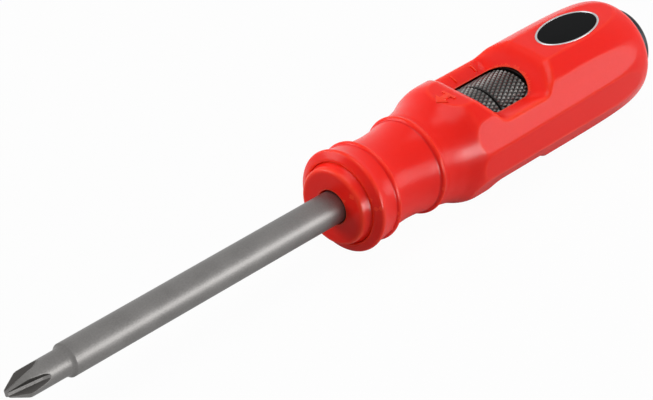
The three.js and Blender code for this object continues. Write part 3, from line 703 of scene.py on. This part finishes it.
for outer, inner in zip(oval, inset):
    for lean in even_turn(RIM_SIDES):
        spot = (outer + inner) / 2 + (outer - inner) / 2 * math.cos(lean)
        height = BADGE_TOP - BADGE_RIM_RISE * (1 - math.sin(lean))
        rim_points.append((BADGE_CENTRE + spot[0], spot[1], height))
for i in range(len(oval)):
    after = (i + 1) % len(oval)
    for k in range(RIM_SIDES):
        beside = (k + 1) % RIM_SIDES
        here, there = i * RIM_SIDES, after * RIM_SIDES
        rim_faces.append((here + k, there + k, there + beside, here + beside))
rim = finish_mesh("badge_bright_rim", rim_points, rim_faces, BADGE_RIM_CREASE)
rim_finish = grained_finish("bright_rim", RIM_SILVER_DARK, RIM_SILVER_LIGHT,
                            smooth=0.18, rough=0.3, scale=1500, bump=0.1, metallic=0.7)
dress(rim, rim_finish, "handle", "badge_silver", "badge_rim")
field_points, field_faces = [(BADGE_CENTRE, 0, BADGE_FIELD_TOP + BADGE_FIELD_CROWN)], []
for ring in range(1, FIELD_RINGS + 1):
    share = ring / FIELD_RINGS
    height = BADGE_FIELD_TOP + BADGE_FIELD_CROWN * (1 - share ** 2)
    for spot in inset * share:
        field_points.append((BADGE_CENTRE + spot[0], spot[1], height))
for spot in inset:
    field_points.append((BADGE_CENTRE + spot[0], spot[1], BADGE_FIELD_TOP - BADGE_FIELD_DEPTH))
for j in range(len(oval)):
    k = (j + 1) % len(oval)
    field_faces.append((0, 1 + j, 1 + k))
    for ring in range(FIELD_RINGS):
        here, there = 1 + ring * len(oval), 1 + (ring + 1) * len(oval)
        field_faces.append((here + j, there + j, there + k, here + k))
field_faces.append(tuple(1 + FIELD_RINGS * len(oval) + j for j in reversed(range(len(oval)))))
field = finish_mesh("badge_black_field", field_points, field_faces, BADGE_FIELD_CREASE)
field_finish = grained_finish("badge_lacquer", FIELD_DARK, FIELD_LIGHT,
                              smooth=0.16, rough=0.24, scale=900, bump=0.05, specular=0.02)
dress(field, field_finish, "handle", "badge_black", "badge_plate")

# Inside the handle are the striker and what guides, seals and springs it. These pieces keep their shapes, and
# take the finish of ground steel, black-oxide steel, bearing bronze or rubber.
STEEL_DARK = (0.38, 0.385, 0.39, 1)
STEEL_LIGHT = (0.5, 0.505, 0.51, 1)
BRONZE_DARK = (0.3, 0.15, 0.045, 1)
BRONZE_LIGHT = (0.42, 0.22, 0.07, 1)
RUBBER_DARK = (0.009, 0.009, 0.01, 1)
RUBBER_LIGHT = (0.016, 0.016, 0.017, 1)
ground_finish = grained_finish("ground_steel", STEEL_DARK, STEEL_LIGHT,
                               smooth=0.2, rough=0.34, scale=2400, bump=0.15, metallic=1.0)
oxide_finish = grained_finish("black_oxide_steel", BLACK_OXIDE_DARK, BLACK_OXIDE_LIGHT,
                              smooth=0.28, rough=0.45, scale=2200, bump=0.2, metallic=0.8)
bronze_finish = grained_finish("bearing_bronze", BRONZE_DARK, BRONZE_LIGHT,
                               smooth=0.3, rough=0.45, scale=2000, bump=0.2, metallic=0.95)
rubber_finish = grained_finish("seal_rubber", RUBBER_DARK, RUBBER_LIGHT,
                               smooth=0.55, rough=0.7, scale=1600, bump=0.2)
inner_finishes = {
    "striker_rod": ground_finish, "guide_sleeve": oxide_finish, "spring_seat": ground_finish,
    "detent_spring": ground_finish, "detent_ball": ground_finish,
    "key_pin": ground_finish, "cam_pin": ground_finish, "collar_pin": ground_finish,
    "retaining_ring": oxide_finish, "front_bearing": bronze_finish, "thrust_washer": bronze_finish,
    "shank_seal": rubber_finish, "cap_seal": rubber_finish,
}
for node_name, finish in inner_finishes.items():
    node_object = frame["nodes"][node_name]
    for material_slot in node_object.material_slots:
        material_slot.link = "OBJECT"
        material_slot.material = finish

# The return spring is an open coil of bright steel wire between its seat in the handle and the cap. It pushes
# the cap back out, and the cap shortens it as it goes in.
SPRING_WIRE = 0.6
SPRING_RADIUS = 8.15
SPRING_TURNS = 4
SPRING_STEPS = 48
SPRING_SIDES = 12
SPRING_CREASE = 50
spring_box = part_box("return_spring")
spring_start = (spring_box[0].x - TOOL_FRONT) / MM + SPRING_WIRE
spring_end = (spring_box[1].x - TOOL_FRONT) / MM - SPRING_WIRE
spring_share = np.linspace(0, 1, SPRING_TURNS * SPRING_STEPS + 1)[:, None]
spring_turn = spring_share * SPRING_TURNS * 2 * math.pi
spring_out = np.concatenate([0 * spring_turn, np.cos(spring_turn), np.sin(spring_turn)], 1)
spring_line = SPRING_RADIUS * spring_out
spring_line[:, 0] = spring_start + (spring_end - spring_start) * spring_share[:, 0]
spring_way = np.gradient(spring_line, axis=0)
spring_way /= np.linalg.norm(spring_way, axis=1, keepdims=True)
spring_aside = np.cross(spring_way, spring_out)
spring_edges = []
for lean in even_turn(SPRING_SIDES):
    off_line = math.cos(lean) * spring_out + math.sin(lean) * spring_aside
    spring_edges.append(spring_line + SPRING_WIRE * off_line)
spring_points = np.stack(spring_edges, 1).reshape(-1, 3)
last_ring = len(spring_points) - SPRING_SIDES
spring_faces = [tuple(range(SPRING_SIDES)), tuple(reversed(range(last_ring, len(spring_points))))]
for here in range(0, last_ring, SPRING_SIDES):
    after = here + SPRING_SIDES
    for j in range(SPRING_SIDES):
        k = (j + 1) % SPRING_SIDES
        spring_faces.append((here + k, here + j, after + j, after + k))
return_coil = finish_mesh("return_coil", spring_points, spring_faces, SPRING_CREASE)
dress(return_coil, ground_finish, "handle", "bright_steel", "return_spring")
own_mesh(return_coil)

# The tool lies on a plain white floor in an even white surround. The floor is white to the camera and in
# gloss, where it darkens close to the tool, and it still takes a faint shadow.
FLOOR_HALF = 4.0
FLOOR_PALE = (0.56, 0.56, 0.56, 1)
FLOOR_GLOW_SHARE = 0.97
CONTACT_REACH = 0.08
CONTACT_DEPTH = 2.2
WORLD_STRENGTH = 0.23
WORLD_WHITE = 1.0


def is_seen(nodes, link, contact=None):
    """1 for rays that see the background: camera, glossy and transmission, less a contact shadow in gloss."""
    path = nodes.new("ShaderNodeLightPath")
    glossy = path.outputs["Is Glossy Ray"]
    if contact is not None:
        shaded = nodes.new("ShaderNodeMath")
        shaded.operation = "MULTIPLY"
        link(glossy, shaded.inputs[0])
        link(contact, shaded.inputs[1])
        glossy = shaded.outputs[0]
    either = nodes.new("ShaderNodeMath")
    either.operation = "MAXIMUM"
    link(path.outputs["Is Camera Ray"], either.inputs[0])
    link(glossy, either.inputs[1])
    every = nodes.new("ShaderNodeMath")
    every.operation = "MAXIMUM"
    link(either.outputs[0], every.inputs[0])
    link(path.outputs["Is Transmission Ray"], every.inputs[1])
    return every.outputs[0]


floor_mesh = bpy.data.meshes.new("floor")
floor_corners = [(-FLOOR_HALF, -FLOOR_HALF, 0), (FLOOR_HALF, -FLOOR_HALF, 0), (FLOOR_HALF, FLOOR_HALF, 0),
                 (-FLOOR_HALF, FLOOR_HALF, 0)]
floor_mesh.from_pydata(floor_corners, [], [(0, 1, 2, 3)])
floor_plane = bpy.data.objects.new("floor", floor_mesh)
bpy.context.scene.collection.objects.link(floor_plane)
floor_finish = bpy.data.materials.new("white_floor")
floor_finish.use_nodes = True
floor_nodes, floor_link = floor_finish.node_tree.nodes, floor_finish.node_tree.links.new
floor_nodes.clear()
matte, glow = floor_nodes.new("ShaderNodeBsdfDiffuse"), floor_nodes.new("ShaderNodeEmission")
matte.inputs["Color"].default_value = FLOOR_PALE
share, both = floor_nodes.new("ShaderNodeMath"), floor_nodes.new("ShaderNodeMixShader")
share.operation = "MULTIPLY"
share.inputs[1].default_value = FLOOR_GLOW_SHARE
contact_shadow = floor_nodes.new("ShaderNodeAmbientOcclusion")
contact_shadow.inputs["Distance"].default_value = CONTACT_REACH
contact_depth = floor_nodes.new("ShaderNodeMath")
contact_depth.operation = "POWER"
contact_depth.inputs[1].default_value = CONTACT_DEPTH
floor_link(contact_shadow.outputs["AO"], contact_depth.inputs[0])
floor_link(is_seen(floor_nodes, floor_link, contact_depth.outputs[0]), share.inputs[0])
floor_link(share.outputs[0], both.inputs["Fac"])
floor_link(matte.outputs[0], both.inputs[1])
floor_link(glow.outputs[0], both.inputs[2])
floor_link(both.outputs[0], floor_nodes.new("ShaderNodeOutputMaterial").inputs["Surface"])
floor_mesh.materials.append(floor_finish)

world = bpy.data.worlds.new("white_surround")
bpy.context.scene.world = world
world.use_nodes = True
world_nodes, world_link = world.node_tree.nodes, world.node_tree.links.new
surround = world_nodes["Background"]
strength = world_nodes.new("ShaderNodeMapRange")
strength.inputs["To Min"].default_value = WORLD_STRENGTH
strength.inputs["To Max"].default_value = WORLD_WHITE
world_link(is_seen(world_nodes, world_link), strength.inputs["Value"])
world_link(strength.outputs["Result"], surround.inputs["Strength"])
surround.inputs["Color"].default_value = (1, 1, 1, 1)

# Four soft boxes light the tool from above, from the far side of its tip and from the near side. The far one
# and the gloss panel light the red plastic alone, and the top one is kept off the blade.
LIGHT_TARGET = (0.03, 0, 0.02)


def soft_light(name, place, target, width, height, power):
    """A soft box that faces a point."""
    lamp = bpy.data.lights.new(name, "AREA")
    lamp.shape = "RECTANGLE"
    lamp.size = width
    lamp.size_y = height
    lamp.energy = power
    holder = bpy.data.objects.new(name, lamp)
    holder.location = place
    holder.rotation_euler = (Vector(target) - Vector(place)).to_track_quat("-Z", "Y").to_euler()
    bpy.context.scene.collection.objects.link(holder)
    return holder


top_light = soft_light("top_light", (0.05, 0.05, 0.95), (0, 0, 0), width=0.6, height=0.6, power=4.7)
far_light = soft_light("far_light", (-0.45, 0.68, 0.32), (0, 0, 0), width=0.5, height=0.5, power=4.6)
soft_light("near_light", (0.50, -0.70, 0.21), LIGHT_TARGET, width=0.8, height=0.36, power=4.2)
gloss_light = soft_light("gloss_light", (0.04, -0.87, 0.13), LIGHT_TARGET, width=0.56, height=0.3, power=12)
gloss_light.visible_diffuse = False
red_set = bpy.data.collections.new("red_set")
upper_set = bpy.data.collections.new("upper_set")
for piece in bpy.context.scene.objects:
    if piece.type == "MESH" and piece != blade:
        upper_set.objects.link(piece)
    if piece.type == "MESH" and red_finish.name in piece.data.materials:
        red_set.objects.link(piece)
top_light.light_linking.receiver_collection = upper_set
far_light.light_linking.receiver_collection = red_set
gloss_light.light_linking.receiver_collection = red_set

# The camera stands before the tip on the near side and looks down along the tool, as in the photograph. Its
# lens is long, so the tool narrows little towards the rear.
CAMERA_PLACE = (-0.40255, -0.33961, 0.36903)
CAMERA_RIGHT = Vector((0.6756, -0.7356, 0.0495))
CAMERA_VIEW = Vector((0.629, 0.540, -0.560))
CAMERA_LENS = 151.6
CAMERA_SENSOR = 36
CAMERA_NEAREST = 0.01
camera = bpy.data.objects.new("camera", bpy.data.cameras.new("camera"))
camera.data.lens = CAMERA_LENS
camera.data.sensor_width = CAMERA_SENSOR
camera.data.sensor_fit = "HORIZONTAL"
camera.data.clip_start = CAMERA_NEAREST
back = -CAMERA_VIEW.normalized()
right = (CAMERA_RIGHT - back * CAMERA_RIGHT.dot(back)).normalized()
up = back.cross(right)
camera.matrix_world = Matrix.Translation(CAMERA_PLACE) @ Matrix((right, up, back)).transposed().to_4x4()
bpy.context.scene.collection.objects.link(camera)
bpy.context.scene.camera = camera
bpy.context.scene.view_settings.view_transform = "Standard"
